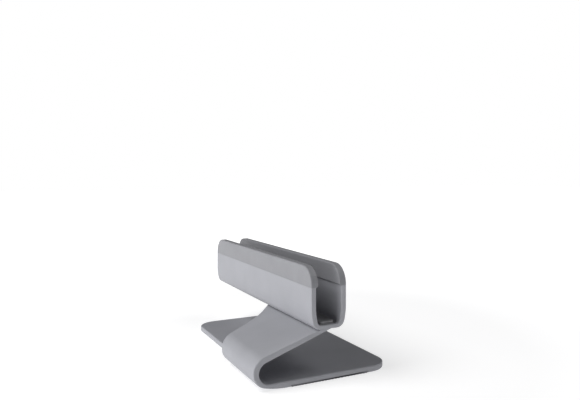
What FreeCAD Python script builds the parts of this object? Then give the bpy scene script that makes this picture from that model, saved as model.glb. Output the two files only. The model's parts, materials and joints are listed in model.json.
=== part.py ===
import FreeCAD, Part

import math
import os

from FreeCAD import Vector

# Vertical laptop stand, in millimetres. X runs along the slot, Y from front to back, Z up.
# The origin is the middle of the footprint, on the surface that the stand rests on.
# The right end, at +X, is one flush plane across the base, roll, neck and slot walls.

# Overall size
stand_length = 245.0
stand_depth = 125.0
stand_height = 92.0

# Metal plate: base, roll and neck
foot_gap = 0.2  # the metal clears the surface, and only the rubber pad touches it
base_thickness = 5.0
base_width = 212.0
base_corner_radius = 19.0
wing_front_y = -46.8  # front edge of the base to the left of the roll
wing_inner_radius = 4.0
wing_overlap = 2.0  # how far the flat wing runs on into the roll's metal
wing_corner_inset = 0.5  # its inner corner starts this far inside the roll's metal
roll_radius = 12.5  # outer face
roll_z = 14.6  # height of the outer face's centre line
lead_in_angle = 14.0  # degrees that the underside turns gently upwards before the tight roll
roll_inner_radius = 8.6
roll_inner_y = -49.0
neck_top_slope = 17.5  # degrees
neck_underside_slope = 19.0  # degrees, a little steeper, so the neck thins towards the slot
neck_left_x = 43.1  # left edge of the neck where it leaves the roll
neck_left_y = -53.9
neck_edge_angle = 19.0  # degrees between the neck's left edge and the Y axis
neck_flare_angle = 46.0  # the same, where the edge has swept out to meet the slot
neck_flare_radius = 44.5
neck_flare_y = -23.9  # where the two directions of the edge would cross
edge_radius = 1.0
neck_sink = 1.0  # how far the neck runs up into the metal of the slot's floor

# Slot channel: a floor and two equal walls
wall_thickness = 4.5
floor_thickness = 3.5
floor_top_z = 44.9
front_wall_y = -13.5  # outer face of the front wall
slot_width = 23.0  # between the metal walls
bend_start_z = 59.5  # below this the walls lean gently inwards
bend_radius = 55.0
bend_angle = 13.0  # degrees
heel_radius = 7.2  # outer corner between a wall and the floor
inner_heel_radius = 3.6

# Edge caps over the tops of the walls
cap_bottom_z = 75.5
cap_corner_radius = 16.0
cap_end = 3.0  # rubber over the top and the ends of the metal blade
cap_outer_leg = 2.1  # flush with the wall's outer face, tape included
cap_inner_leg = 1.8  # stands proud inside the slot
cap_edge_radius = 0.9
cap_lip_chamfer = 1.3
tongue_root = 5.0  # how far the metal blade runs down into the wall below the cap
tape_thickness = 0.2
tape_height = 9.0
tape_end_gap = 18.0
seam_groove_size = 0.15

# Pads
seat_pad_thickness = 2.25
seat_pad_width = 13.1
seat_pad_end_gap = 3.0
seat_pad_edge = 0.4
base_pad_front_y = -31.0
base_pad_back_y = 40.0
base_pad_depth = 1.8  # height of the exposed pad and its adhesive
adhesive_thickness = 0.15
pad_inset = 0.3

# Worked out from the above
right_end = stand_length / 2
left_end = -right_end
front_y = -stand_depth / 2
back_y = stand_depth / 2
base_left = right_end - base_width
base_top_z = foot_gap + base_thickness
roll_y = front_y + roll_radius
roll_inner_z = base_top_z + roll_inner_radius
floor_bottom_z = floor_top_z - floor_thickness
slot_front_y = front_wall_y + wall_thickness
slot_middle_y = slot_front_y + slot_width / 2
far = 400.0  # longer than anything here, for cutting tools
overshoot = 10.0  # how far a cutting tool runs past the metal it cuts
tolerance = 0.001


def tangent(degrees):
    return math.tan(math.radians(degrees))


def on_yz(y, z):
    return Vector(left_end, y, z)


# The wide arc of the underside that leads into the roll, level where it starts
lead_in_turn = math.radians(lead_in_angle)
lead_in_end = on_yz(
    roll_y - roll_radius * math.sin(lead_in_turn), roll_z - roll_radius * math.cos(lead_in_turn)
)
lead_in_radius = (lead_in_end.z - foot_gap) / (1 - math.cos(lead_in_turn))
lead_in_y = lead_in_end.y + lead_in_radius * math.sin(lead_in_turn)


def on_xy(x, y):
    return Vector(x, y, 0)


def on_xz(x, z):
    return Vector(x, 0, z)


def rounded_face(corners, place):
    """A face with straight sides whose corners (a, b, radius) are rounded to their radii."""
    edges = []
    ends = []
    for i in range(len(corners)):
        a, b, radius = corners[i]
        corner = place(a, b)
        before = (place(*corners[i - 1][:2]) - corner).normalize()
        after = (place(*corners[(i + 1) % len(corners)][:2]) - corner).normalize()
        if radius == 0:
            ends.append((corner, corner))
            continue
        half = before.getAngle(after) / 2
        bisector = (before + after).normalize()
        start = corner + before * (radius / math.tan(half))
        end = corner + after * (radius / math.tan(half))
        middle = corner + bisector * (radius / math.sin(half) - radius)
        edges.append(Part.Arc(start, middle, end).toShape())
        ends.append((start, end))
    for i in range(len(ends)):
        leaving = ends[i - 1][1]
        reaching = ends[i][0]
        if leaving.distanceToPoint(reaching) > tolerance:
            edges.append(Part.makeLine(leaving, reaching))
    return Part.Face(Part.Wire(Part.__sortEdges__(edges)))


def box(low, high):
    size = Vector(*high) - Vector(*low)
    return Part.makeBox(size.x, size.y, size.z, Vector(*low))


def lies_on(edge, axis, value):
    """True if every point of the edge has this coordinate."""
    return all(abs(getattr(point, axis) - value) < tolerance for point in edge.discretize(5))


def flat_edges(shape, axis):
    """The edges that lie in one plane across the axis and don't run along it."""
    return [e for e in shape.Edges if lies_on(e, axis, getattr(e.discretize(2)[0], axis))]


def is_hidden(edge):
    """True for the edges of the neck that end up inside the metal of the slot's floor."""
    return all(point.z > floor_bottom_z + neck_sink - tolerance for point in edge.discretize(5))


def slants(edge):
    """True for the edges of the roll's and neck's left side, the only ones that run across X and Y."""
    first, last = edge.discretize(2)
    return abs(first.x - last.x) > tolerance and abs(first.y - last.y) > tolerance


# The plan outline of the neck's left edge, shared by the roll
def neck_edge_x(y):
    return neck_left_x - (y - neck_left_y) * tangent(neck_edge_angle)


def make_base():
    """The flat foot plate behind the roll, with a wing to the left of it."""
    outline = [
        (base_left, wing_front_y, base_corner_radius),
        (neck_edge_x(wing_front_y) + wing_corner_inset, wing_front_y, wing_inner_radius),
        (neck_edge_x(front_y - overshoot) + wing_corner_inset, front_y - overshoot, 0),
        (right_end, front_y - overshoot, 0),
        (right_end, back_y, base_corner_radius),
        (base_left, back_y, base_corner_radius),
    ]
    plate = rounded_face(outline, on_xy).extrude(Vector(0, 0, base_thickness))
    plate.translate(Vector(0, 0, foot_gap))
    plate = plate.common(box((-far, roll_y, -far), (far, far, far)))
    rim = [e for e in flat_edges(plate, "z") if not lies_on(e, "y", roll_y)]
    plate = plate.makeFillet(edge_radius, rim)
    roll_outline = [
        (neck_edge_x(roll_y - overshoot) + wing_overlap, roll_y - overshoot, 0),
        (far, roll_y - overshoot, 0),
        (far, lead_in_y, 0),
        (neck_edge_x(lead_in_y) + wing_overlap, lead_in_y, 0),
    ]
    return plate.cut(rounded_face(roll_outline, on_xy).extrude(Vector(0, 0, far)))


def roll_point(centre_y, centre_z, radius, slope):
    """A point on the roll's section, where a line with this slope leaves it."""
    angle = math.radians(slope)
    return on_yz(centre_y - radius * math.sin(angle), centre_z + radius * math.cos(angle))


neck_top_start = roll_point(roll_y, roll_z, roll_radius, neck_top_slope)
neck_underside_start = roll_point(roll_inner_y, roll_inner_z, roll_inner_radius, neck_underside_slope)


def slope_end(start, slope):
    """Where a line of the neck's section ends inside the metal of the slot's floor."""
    end_z = floor_bottom_z + neck_sink
    return on_yz(start.y + (end_z - start.z) / tangent(slope), end_z)


def make_roll_and_neck():
    """The plate curls up from the base and slopes back to the underside of the slot."""
    top_end = slope_end(neck_top_start, neck_top_slope)
    under_end = slope_end(neck_underside_start, neck_underside_slope)
    inner_bottom = on_yz(roll_inner_y, base_top_z)
    inner_front = on_yz(roll_inner_y - roll_inner_radius, roll_inner_z)
    half_turn = lead_in_turn / 2
    lead_in_start = on_yz(lead_in_y, foot_gap)
    lead_in_middle = on_yz(
        lead_in_y - lead_in_radius * math.sin(half_turn),
        foot_gap + lead_in_radius * (1 - math.cos(half_turn)),
    )
    section = [
        Part.Arc(lead_in_start, lead_in_middle, lead_in_end).toShape(),
        Part.Arc(lead_in_end, on_yz(front_y, roll_z), neck_top_start).toShape(),
        Part.makeLine(neck_top_start, top_end),
        Part.makeLine(top_end, under_end),
        Part.makeLine(under_end, neck_underside_start),
        Part.Arc(neck_underside_start, inner_front, inner_bottom).toShape(),
        Part.makeLine(inner_bottom, on_yz(lead_in_y, base_top_z)),
        Part.makeLine(on_yz(lead_in_y, base_top_z), lead_in_start),
    ]
    strip = Part.Face(Part.Wire(section)).extrude(Vector(stand_length, 0, 0))
    reach_y = under_end.y + overshoot
    reach_x = neck_edge_x(neck_flare_y) - (reach_y - neck_flare_y) * tangent(neck_flare_angle)
    outline = [
        (neck_edge_x(front_y - overshoot), front_y - overshoot, 0),
        (right_end, front_y - overshoot, 0),
        (right_end, reach_y, 0),
        (reach_x, reach_y, 0),
        (neck_edge_x(neck_flare_y), neck_flare_y, neck_flare_radius),
    ]
    plan = rounded_face(outline, on_xy).extrude(Vector(0, 0, far))
    strip = strip.common(plan)
    ends = [e for e in flat_edges(strip, "x") if lies_on(e, "x", right_end)]
    ends += [e for e in strip.Edges if slants(e)]
    ends = [e for e in ends if not lies_on(e, "y", lead_in_y) and not is_hidden(e)]
    return strip.makeFillet(edge_radius, ends)


def wall_corners(side, wall_y, radius, heel_z, corner_radius):
    """The bend and heel corners of one wall face. Side is 1 for the front wall, -1 for the back."""
    vertex_z = bend_start_z - radius * tangent(bend_angle / 2)
    heel_y = wall_y + side * (vertex_z - heel_z) * tangent(bend_angle)
    return [(wall_y, vertex_z, radius), (heel_y, heel_z, corner_radius)]


def make_channel():
    """The slot's floor and its two walls, up to the bottom of the edge caps."""
    inner_bend = bend_radius - wall_thickness
    outer = wall_corners(1, front_wall_y, bend_radius, floor_bottom_z, heel_radius)
    inner = wall_corners(1, slot_front_y, inner_bend, floor_top_z, inner_heel_radius)
    outer_back = [(2 * slot_middle_y - y, z, r) for y, z, r in reversed(outer)]
    inner_back = [(2 * slot_middle_y - y, z, r) for y, z, r in reversed(inner)]
    back_wall_y = 2 * slot_middle_y - front_wall_y
    slot_back_y = 2 * slot_middle_y - slot_front_y
    section = [(front_wall_y, cap_bottom_z, 0)]
    section += outer + outer_back
    section += [(back_wall_y, cap_bottom_z, 0), (slot_back_y, cap_bottom_z, 0)]
    section += list(reversed(inner_back)) + list(reversed(inner))
    section += [(slot_front_y, cap_bottom_z, 0)]
    channel = rounded_face(section, on_yz).extrude(Vector(stand_length, 0, 0))
    ends = [e for e in flat_edges(channel, "x") if not lies_on(e, "z", cap_bottom_z)]
    return channel.makeFillet(edge_radius, ends)


def arch(half_length, bottom_z, top_z, radius, low_y, high_y):
    """An upright plate along X with both top corners rounded."""
    outline = [
        (-half_length, bottom_z, 0),
        (half_length, bottom_z, 0),
        (half_length, top_z, radius),
        (-half_length, top_z, radius),
    ]
    plate = rounded_face(outline, on_xz).extrude(Vector(0, high_y - low_y, 0))
    plate.translate(Vector(0, low_y, 0))
    return plate


def blade(low_y, high_y, bottom_z=cap_bottom_z):
    """The thin metal tongue that an edge cap fits over, or a slice of its outline."""
    inner_radius = cap_corner_radius - cap_end
    return arch(right_end - cap_end, bottom_z, stand_height - cap_end, inner_radius, low_y, high_y)


def mirrored(shape):
    """The same shape on the back wall."""
    return shape.mirror(Vector(0, slot_middle_y, 0), Vector(0, 1, 0))


def base_pad_box(low_z, high_z):
    return box((-far, base_pad_front_y, low_z), (far, base_pad_back_y, high_z))


def make_body():
    """Base, roll, neck, slot and the two blades, all one piece of aluminium."""
    tongue = blade(front_wall_y + cap_outer_leg, slot_front_y, cap_bottom_z - tongue_root)
    parts = [make_roll_and_neck(), make_channel(), tongue, mirrored(tongue)]
    body = make_base().multiFuse(parts).removeSplitter()
    recess = base_pad_box(-overshoot, base_pad_depth)
    return body.cut([recess, seam_groove(), mirrored(seam_groove())])


def bevel_tool(y, z, size):
    """A square bar on its corner along X, which bevels the edge at (y, z)."""
    section = [on_yz(y - size, z), on_yz(y, z + size), on_yz(y + size, z), on_yz(y, z - size)]
    length = stand_length + 2 * overshoot
    bar = Part.Face(Part.makePolygon(section + section[:1])).extrude(Vector(length, 0, 0))
    bar.translate(Vector(-overshoot, 0, 0))
    return bar


def seam_groove():
    """The fine line on the outer face where the cap meets the metal."""
    return bevel_tool(front_wall_y, cap_bottom_z, seam_groove_size)


def make_front_cap():
    """A soft U-section that wraps the top and the ends of the front wall's blade."""
    outer_y = front_wall_y
    inner_y = slot_front_y + cap_inner_leg
    cap = arch(right_end, cap_bottom_z, stand_height, cap_corner_radius, outer_y, inner_y)
    rim = [e for e in flat_edges(cap, "y") if not lies_on(e, "z", cap_bottom_z)]
    cap = cap.makeFillet(cap_edge_radius, rim)
    lip = bevel_tool(inner_y, cap_bottom_z, cap_lip_chamfer)
    pocket = blade(front_wall_y + cap_outer_leg, slot_front_y, cap_bottom_z - overshoot)
    return cap.cut([lip, seam_groove(), pocket, make_front_tape()])


def make_front_tape():
    """Double-sided tape between the blade's outer side and the cap."""
    blade_y = front_wall_y + cap_outer_leg
    middle_z = (cap_bottom_z + stand_height - cap_end) / 2
    half_length = right_end - tape_end_gap
    low = (-half_length, blade_y - tape_thickness, middle_z - tape_height / 2)
    high = (half_length, blade_y, middle_z + tape_height / 2)
    return box(low, high)


def make_seat_pad_adhesive():
    half_length = right_end - seat_pad_end_gap - pad_inset
    half_width = seat_pad_width / 2 - pad_inset
    low = (-half_length, slot_middle_y - half_width, floor_top_z)
    high = (half_length, slot_middle_y + half_width, floor_top_z + adhesive_thickness)
    return box(low, high)


def make_seat_pad():
    """The strip that the laptop's edge stands on."""
    half_length = right_end - seat_pad_end_gap
    half_width = seat_pad_width / 2
    bottom = floor_top_z + adhesive_thickness
    low = (-half_length, slot_middle_y - half_width, bottom)
    high = (half_length, slot_middle_y + half_width, bottom + seat_pad_thickness)
    pad = box(low, high)
    return pad.makeFillet(seat_pad_edge, [e for e in pad.Edges if lies_on(e, "z", high[2])])


def base_outline_prism():
    outline = [
        (base_left + pad_inset, wing_front_y + pad_inset, base_corner_radius - pad_inset),
        (right_end - pad_inset, wing_front_y + pad_inset, 0),
        (right_end - pad_inset, back_y, 0),
        (base_left + pad_inset, back_y, 0),
    ]
    return rounded_face(outline, on_xy).extrude(Vector(0, 0, stand_height))


def make_base_pad():
    """The non-slip pad in the recess across the base's underside."""
    return base_pad_box(0, base_pad_depth - adhesive_thickness).common(base_outline_prism())


def make_base_pad_adhesive():
    sheet = base_pad_box(base_pad_depth - adhesive_thickness, base_pad_depth)
    return sheet.common(base_outline_prism())


os.makedirs("parts", exist_ok=True)
front_cap = make_front_cap()
front_tape = make_front_tape()
nodes = {
    "stand_body": make_body(),
    "front_edge_cap": front_cap,
    "rear_edge_cap": mirrored(front_cap),
    "front_cap_tape": front_tape,
    "rear_cap_tape": mirrored(front_tape),
    "slot_seat_pad": make_seat_pad(),
    "seat_pad_adhesive": make_seat_pad_adhesive(),
    "base_grip_pad": make_base_pad(),
    "base_pad_adhesive": make_base_pad_adhesive(),
}
for name, shape in nodes.items():
    solids = shape.Solids
    if len(solids) != 1 or not shape.isValid():
        raise RuntimeError(name + " is not one valid solid")
    solids[0].exportStep("parts/" + name + ".step")
    size = solids[0].BoundBox
    print(name, "%.2f x %.2f x %.2f mm" % (size.XLength, size.YLength, size.ZLength))
    print("    %.0f mm3" % solids[0].Volume)
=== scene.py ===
import json
import math

import bmesh
import bpy
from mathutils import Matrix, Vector


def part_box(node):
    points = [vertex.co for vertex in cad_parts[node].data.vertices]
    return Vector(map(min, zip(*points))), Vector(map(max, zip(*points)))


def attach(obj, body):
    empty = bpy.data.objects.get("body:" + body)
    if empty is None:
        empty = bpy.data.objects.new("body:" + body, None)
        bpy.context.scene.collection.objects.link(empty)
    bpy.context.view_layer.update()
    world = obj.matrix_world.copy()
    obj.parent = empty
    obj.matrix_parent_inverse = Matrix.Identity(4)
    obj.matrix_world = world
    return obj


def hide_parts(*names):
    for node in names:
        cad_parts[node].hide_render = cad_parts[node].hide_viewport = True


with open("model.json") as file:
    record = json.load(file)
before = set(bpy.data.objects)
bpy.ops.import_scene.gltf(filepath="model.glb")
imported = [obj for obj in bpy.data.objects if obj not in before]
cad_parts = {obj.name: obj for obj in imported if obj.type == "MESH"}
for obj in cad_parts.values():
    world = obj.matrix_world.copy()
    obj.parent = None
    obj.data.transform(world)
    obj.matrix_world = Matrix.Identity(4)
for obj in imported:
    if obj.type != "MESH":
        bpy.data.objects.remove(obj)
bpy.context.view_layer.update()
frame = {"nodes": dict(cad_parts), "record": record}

# Lengths are in metres. X runs along the slot, Y from front to back, Z up.

# Camera: level, at the open corner of the stand, 166 mm above the desk
CAMERA_PLACE = Vector((0.5419, -0.2221, 0.166))
VIEW_DIRECTION = Vector((-0.8805, 0.4740, 0.0))
LENS = 36.6  # millimetres on a 36 mm sensor
SHIFT_X = -0.0698
SHIFT_Y = -0.0440

# Light: soft boxes in front, low in front, above the front and above the back
AMBIENT = 0.07
SOFTBOXES = [
    {
        "name": "key_front",
        "place": (0.12, -1.65, 0.52),
        "target": (0.0, 0.0, 0.05),
        "size": (0.9, 0.9),
        "watts": 4.2,
    },
    {
        "name": "low_front",
        "place": (0.10, -1.30, 0.11),
        "target": (0.0, 0.0, 0.06),
        "size": (1.0, 0.18),
        "watts": 4.7,
    },
    {
        "name": "top_front",
        "place": (-0.2, -1.00, 1.25),
        "target": (0.0, 0.0, 0.05),
        "size": (0.9, 0.9),
        "watts": 16,
    },
    {
        "name": "top_back",
        "place": (0.45, 0.85, 1.35),
        "target": (0.0, 0.0, 0.03),
        "size": (0.9, 0.9),
        "watts": 6.2,
    },
]

# Floor: it glows more with distance from the stand, so that it meets the white background unseen
FLOOR_HALF_SIZE = 6.0
FLOOR_GLOW_NEAR = 0.60
FLOOR_GLOW_FAR = 1.05
FLOOR_GLOW_START = 0.25
FLOOR_GLOW_END = 0.75

# Moulded pads
EDGE_STEPS = 6
END_STEPS = 6
POINTS_PER_GROOVE = 12
STATION_SPACING = 0.012
SHARP_ANGLE = 40  # degrees


# ---------------------------------------------------------------- node helpers


class Nodes:
    """A material's node tree, with short calls to add and link nodes."""

    def __init__(self, name):
        self.material = bpy.data.materials.new(name)
        self.material.use_nodes = True
        self.tree = self.material.node_tree
        self.shader = self.tree.nodes["Principled BSDF"]
        coordinates = self.add("ShaderNodeTexCoord")
        self.position = coordinates.outputs["Object"]

    def add(self, kind, **settings):
        node = self.tree.nodes.new(kind)
        for key, value in settings.items():
            setattr(node, key, value)
        return node

    def link(self, output, target):
        self.tree.links.new(output, target)

    def feed(self, name, output):
        """Links an output to one of the shader's sockets."""
        self.link(output, self.shader.inputs[name])

    def set(self, **values):
        for key, value in values.items():
            self.shader.inputs[key.replace("_", " ")].default_value = value

    def noise(self, scale, detail=2.0, roughness=0.5, stretch=(1, 1, 1)):
        """Noise over the object's own metres. Scale is roughly the number of cells in a metre."""
        mapping = self.add("ShaderNodeMapping")
        mapping.inputs["Scale"].default_value = stretch
        self.link(self.position, mapping.inputs["Vector"])
        node = self.add("ShaderNodeTexNoise")
        node.inputs["Scale"].default_value = scale
        node.inputs["Detail"].default_value = detail
        node.inputs["Roughness"].default_value = roughness
        self.link(mapping.outputs["Vector"], node.inputs["Vector"])
        return node.outputs["Fac"]

    def spread(self, value, low, high, start=0.3, end=0.7):
        """The value's range from start to end, moved to low to high."""
        node = self.add("ShaderNodeMapRange")
        node.inputs["From Min"].default_value = start
        node.inputs["From Max"].default_value = end
        node.inputs["To Min"].default_value = low
        node.inputs["To Max"].default_value = high
        self.link(value, node.inputs["Value"])
        return node.outputs["Result"]

    def colours(self, value, first, second):
        """The shader's colour, from first to second as the value rises."""
        node = self.add("ShaderNodeMix", data_type="RGBA")
        node.inputs["A"].default_value = (*first, 1)
        node.inputs["B"].default_value = (*second, 1)
        self.link(self.spread(value, low=0, high=1), node.inputs["Factor"])
        self.feed("Base Color", node.outputs["Result"])

    def bump(self, height, distance, strength, under=None):
        """A surface normal disturbed by the height, on top of another bump if there is one."""
        node = self.add("ShaderNodeBump")
        node.inputs["Distance"].default_value = distance
        node.inputs["Strength"].default_value = strength
        self.link(height, node.inputs["Height"])
        if under is not None:
            self.link(under, node.inputs["Normal"])
        return node.outputs["Normal"]


# ---------------------------------------------------------------- materials


def anodised_aluminium():
    """Bead-blasted, anodised space-grey metal: a fine even grain with faint mottling."""
    m = Nodes("anodised_aluminium")
    mottle = m.noise(scale=38, detail=3)
    m.colours(mottle, first=(0.352, 0.356, 0.383), second=(0.377, 0.381, 0.410))
    grain = m.noise(scale=2600, detail=3, roughness=0.65)
    m.feed("Roughness", m.spread(grain, low=0.60, high=0.70))
    peaks = m.noise(scale=900, detail=1)
    fine = m.bump(grain, distance=0.000035, strength=0.5)
    m.feed("Normal", m.bump(peaks, distance=0.00006, strength=0.25, under=fine))
    m.set(Metallic=0.20)
    return m.material


def cap_silicone():
    """Smooth moulded silicone, a shade darker than the metal, with a faint satin bloom."""
    m = Nodes("cap_silicone")
    bloom = m.noise(scale=60, detail=4, roughness=0.6)
    m.colours(bloom, first=(0.232, 0.234, 0.251), second=(0.252, 0.254, 0.272))
    skin = m.noise(scale=1500, detail=2)
    m.feed("Roughness", m.spread(skin, low=0.50, high=0.60))
    m.feed("Normal", m.bump(skin, distance=0.00003, strength=0.35))
    m.set(Sheen_Weight=0.08, Sheen_Roughness=0.5)
    return m.material


def seat_silicone():
    """Grey matte silicone with a slightly pebbled skin."""
    m = Nodes("seat_silicone")
    dust = m.noise(scale=170, detail=5, roughness=0.7)
    m.colours(dust, first=(0.250, 0.250, 0.260), second=(0.285, 0.285, 0.296))
    pebble = m.noise(scale=1900, detail=1)
    m.feed("Roughness", m.spread(pebble, low=0.52, high=0.68))
    m.feed("Normal", m.bump(pebble, distance=0.00008, strength=0.5))
    return m.material


def base_rubber():
    """Grippy grey rubber with an open, porous surface."""
    m = Nodes("base_rubber")
    dust = m.noise(scale=120, detail=6, roughness=0.7)
    m.colours(dust, first=(0.175, 0.176, 0.192), second=(0.205, 0.206, 0.224))
    pores = m.add("ShaderNodeTexVoronoi")
    pores.inputs["Scale"].default_value = 1100
    m.link(m.position, pores.inputs["Vector"])
    depth = pores.outputs["Distance"]
    m.feed("Roughness", m.spread(depth, low=0.65, high=0.85, start=0.0, end=0.8))
    m.feed("Normal", m.bump(depth, distance=0.0001, strength=0.6))
    return m.material


def adhesive_film():
    """Clear-grey adhesive with fine fibres."""
    m = Nodes("adhesive_film")
    fibres = m.noise(scale=700, detail=3, stretch=(0.12, 1, 1))
    m.colours(fibres, first=(0.42, 0.42, 0.40), second=(0.55, 0.55, 0.52))
    m.feed("Roughness", m.spread(fibres, low=0.35, high=0.5))
    m.feed("Normal", m.bump(fibres, distance=0.00003, strength=0.4))
    return m.material


def pale_glowing_floor():
    """A pale seamless table top with a painted glow, dimmer near the stand and brighter further out, which
    keeps only a faint contact shadow.
    """
    m = Nodes("pale_glowing_floor")
    cloud = m.noise(scale=3, detail=2)
    m.colours(cloud, first=(0.56, 0.56, 0.565), second=(0.58, 0.58, 0.585))
    reach = m.add("ShaderNodeVectorMath", operation="LENGTH")
    m.link(m.position, reach.inputs[0])
    glow = m.spread(
        reach.outputs["Value"],
        low=FLOOR_GLOW_NEAR,
        high=FLOOR_GLOW_FAR,
        start=FLOOR_GLOW_START,
        end=FLOOR_GLOW_END,
    )
    # Painted glow: the floor emits light, less near the stand and more further out.
    m.feed("Emission Strength", glow)
    m.set(Roughness=1.0, Emission_Color=(1, 1, 1, 1), Specular_IOR_Level=0.0)
    return m.material


MAKERS = [anodised_aluminium, cap_silicone, seat_silicone, base_rubber, adhesive_film]
materials = {make.__name__: make() for make in MAKERS}
slots = {part["node"]: part["material_slot"] for part in frame["record"]["subparts"]}


def paint_cad_nodes():
    """Each CAD node gets its slot's material."""
    for name, slot in slots.items():
        node = frame["nodes"][name]
        node.data.materials.clear()
        node.data.materials.append(materials[slot])


def add_to_scene(thing):
    bpy.context.scene.collection.objects.link(thing)


# ---------------------------------------------------------------- moulded pads


def pad_ring(width, thickness, edge, groove_pitch, groove_depth):
    """Section of a moulded pad: across and up from its glued side, grooved on its contact face."""
    half = width / 2
    left = [(-half, 0.0), (-half, (thickness - edge) / 2)]
    for step in range(EDGE_STEPS):
        angle = math.pi / 2 * step / EDGE_STEPS
        left.append((-half + edge * (1 - math.cos(angle)), thickness - edge * (1 - math.sin(angle))))
    run = width - 2 * edge
    grooves = round(run / groove_pitch)
    count = grooves * POINTS_PER_GROOVE
    face = []
    for step in range(count + 1):
        wave = math.cos(2 * math.pi * grooves * step / count)
        dip = groove_depth * max(0.0, -wave) ** 2
        face.append((-half + edge + run * step / count, thickness - dip))
    right = [(-across, up) for across, up in reversed(left)]
    return left + face + right


def rounding(distance, radius):
    """How far a rounded corner has fallen back, this far in from its end."""
    inside = max(0.0, radius - distance)
    return radius - math.sqrt(radius**2 - inside**2)


def pad_stations(low_x, high_x, corner, edge):
    """Places along a pad, close together at its rounded ends: X and the distance from the nearer end."""
    turns = [1 - math.cos(math.pi / 2 * step / END_STEPS) for step in range(END_STEPS + 1)]
    insets = sorted({edge * turn for turn in turns} | {corner * turn for turn in turns})
    length = high_x - low_x
    steps = int(length / STATION_SPACING)
    between = [(low_x + length * i / steps, corner) for i in range(1, steps)]
    return [(low_x + d, d) for d in insets] + between + [(high_x - d, d) for d in reversed(insets)]


def closed_tube(rows):
    """A closed mesh through rows of corners, one row for each section."""
    bm = bmesh.new()
    rows = [[bm.verts.new(corner) for corner in row] for row in rows]
    for first, second in zip(rows, rows[1:]):
        for i in range(len(first)):
            j = (i + 1) % len(first)
            bm.faces.new((first[i], first[j], second[j], second[i]))
    ends = [bm.faces.new(rows[0]), bm.faces.new(list(reversed(rows[-1])))]
    bmesh.ops.triangulate(bm, faces=ends)
    bmesh.ops.recalc_face_normals(bm, faces=bm.faces)
    return bm


def moulded_pad(name, node, corner, edge, groove_pitch, groove_depth, face_up):
    """A grooved pad in the CAD solid's box, with rounded corners and a soft rim. It replaces the solid."""
    low, high = (Vector(point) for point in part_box(node))
    width = high.y - low.y
    thickness = high.z - low.z
    middle_y = (low.y + high.y) / 2
    ring = pad_ring(width, thickness, edge, groove_pitch, groove_depth)
    rows = []
    for x, inward in pad_stations(low.x, high.x, corner, edge):
        narrow = 1 - rounding(inward, corner) / (width / 2)
        lower = 1 - rounding(inward, edge) / thickness
        row = []
        for across, up in ring:
            z = low.z + up * lower if face_up else high.z - up * lower
            row.append((x, middle_y + across * narrow, z))
        rows.append(row)
    bm = closed_tube(rows)
    mesh = bpy.data.meshes.new(name)
    bm.to_mesh(mesh)
    bm.free()
    mesh.polygons.foreach_set("use_smooth", [True] * len(mesh.polygons))
    mesh.set_sharp_from_angle(angle=math.radians(SHARP_ANGLE))
    mesh.materials.append(materials[slots[node]])
    pad = bpy.data.objects.new(name, mesh)
    add_to_scene(pad)
    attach(pad, "root")
    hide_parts(node)


# ---------------------------------------------------------------- stage


def aim(thing, direction):
    thing.rotation_euler = direction.to_track_quat("-Z", "Y").to_euler()


def add_camera():
    data = bpy.data.cameras.new("camera")
    data.lens = LENS
    data.shift_x = SHIFT_X
    data.shift_y = SHIFT_Y
    camera = bpy.data.objects.new("camera", data)
    camera.location = CAMERA_PLACE
    aim(camera, VIEW_DIRECTION)
    add_to_scene(camera)
    bpy.context.scene.camera = camera


def add_floor():
    size = FLOOR_HALF_SIZE
    mesh = bpy.data.meshes.new("floor")
    corners = [(-size, -size, 0), (size, -size, 0), (size, size, 0), (-size, size, 0)]
    mesh.from_pydata(corners, [], [(0, 1, 2, 3)])
    mesh.materials.append(pale_glowing_floor())
    floor = bpy.data.objects.new("floor", mesh)
    add_to_scene(floor)


def add_softbox(softbox):
    data = bpy.data.lights.new(softbox["name"], "AREA")
    data.shape = "RECTANGLE"
    data.size, data.size_y = softbox["size"]
    data.energy = softbox["watts"]
    light = bpy.data.objects.new(softbox["name"], data)
    light.location = softbox["place"]
    aim(light, Vector(softbox["target"]) - Vector(softbox["place"]))
    add_to_scene(light)


def add_world():
    """A white background whose light on the scene is dim."""
    world = bpy.data.worlds.new("studio")
    world.use_nodes = True
    tree = world.node_tree
    background = tree.nodes["Background"]
    background.inputs["Color"].default_value = (1, 1, 1, 1)
    path = tree.nodes.new("ShaderNodeLightPath")
    level = tree.nodes.new("ShaderNodeMapRange")
    level.inputs["To Min"].default_value = AMBIENT
    level.inputs["To Max"].default_value = 1.0
    tree.links.new(path.outputs["Is Camera Ray"], level.inputs["Value"])
    tree.links.new(level.outputs["Result"], background.inputs["Strength"])
    bpy.context.scene.world = world
    bpy.context.scene.view_settings.view_transform = "Standard"


add_camera()
add_floor()
add_world()
for box in SOFTBOXES:
    add_softbox(box)
paint_cad_nodes()
moulded_pad(
    "seat_pad_moulded",
    "slot_seat_pad",
    corner=0.0030,
    edge=0.0006,
    groove_pitch=0.0024,
    groove_depth=0.0004,
    face_up=True,
)
moulded_pad(
    "base_pad_moulded",
    "base_grip_pad",
    corner=0.0020,
    edge=0.0004,
    groove_pitch=0.0030,
    groove_depth=0.0004,
    face_up=False,
)
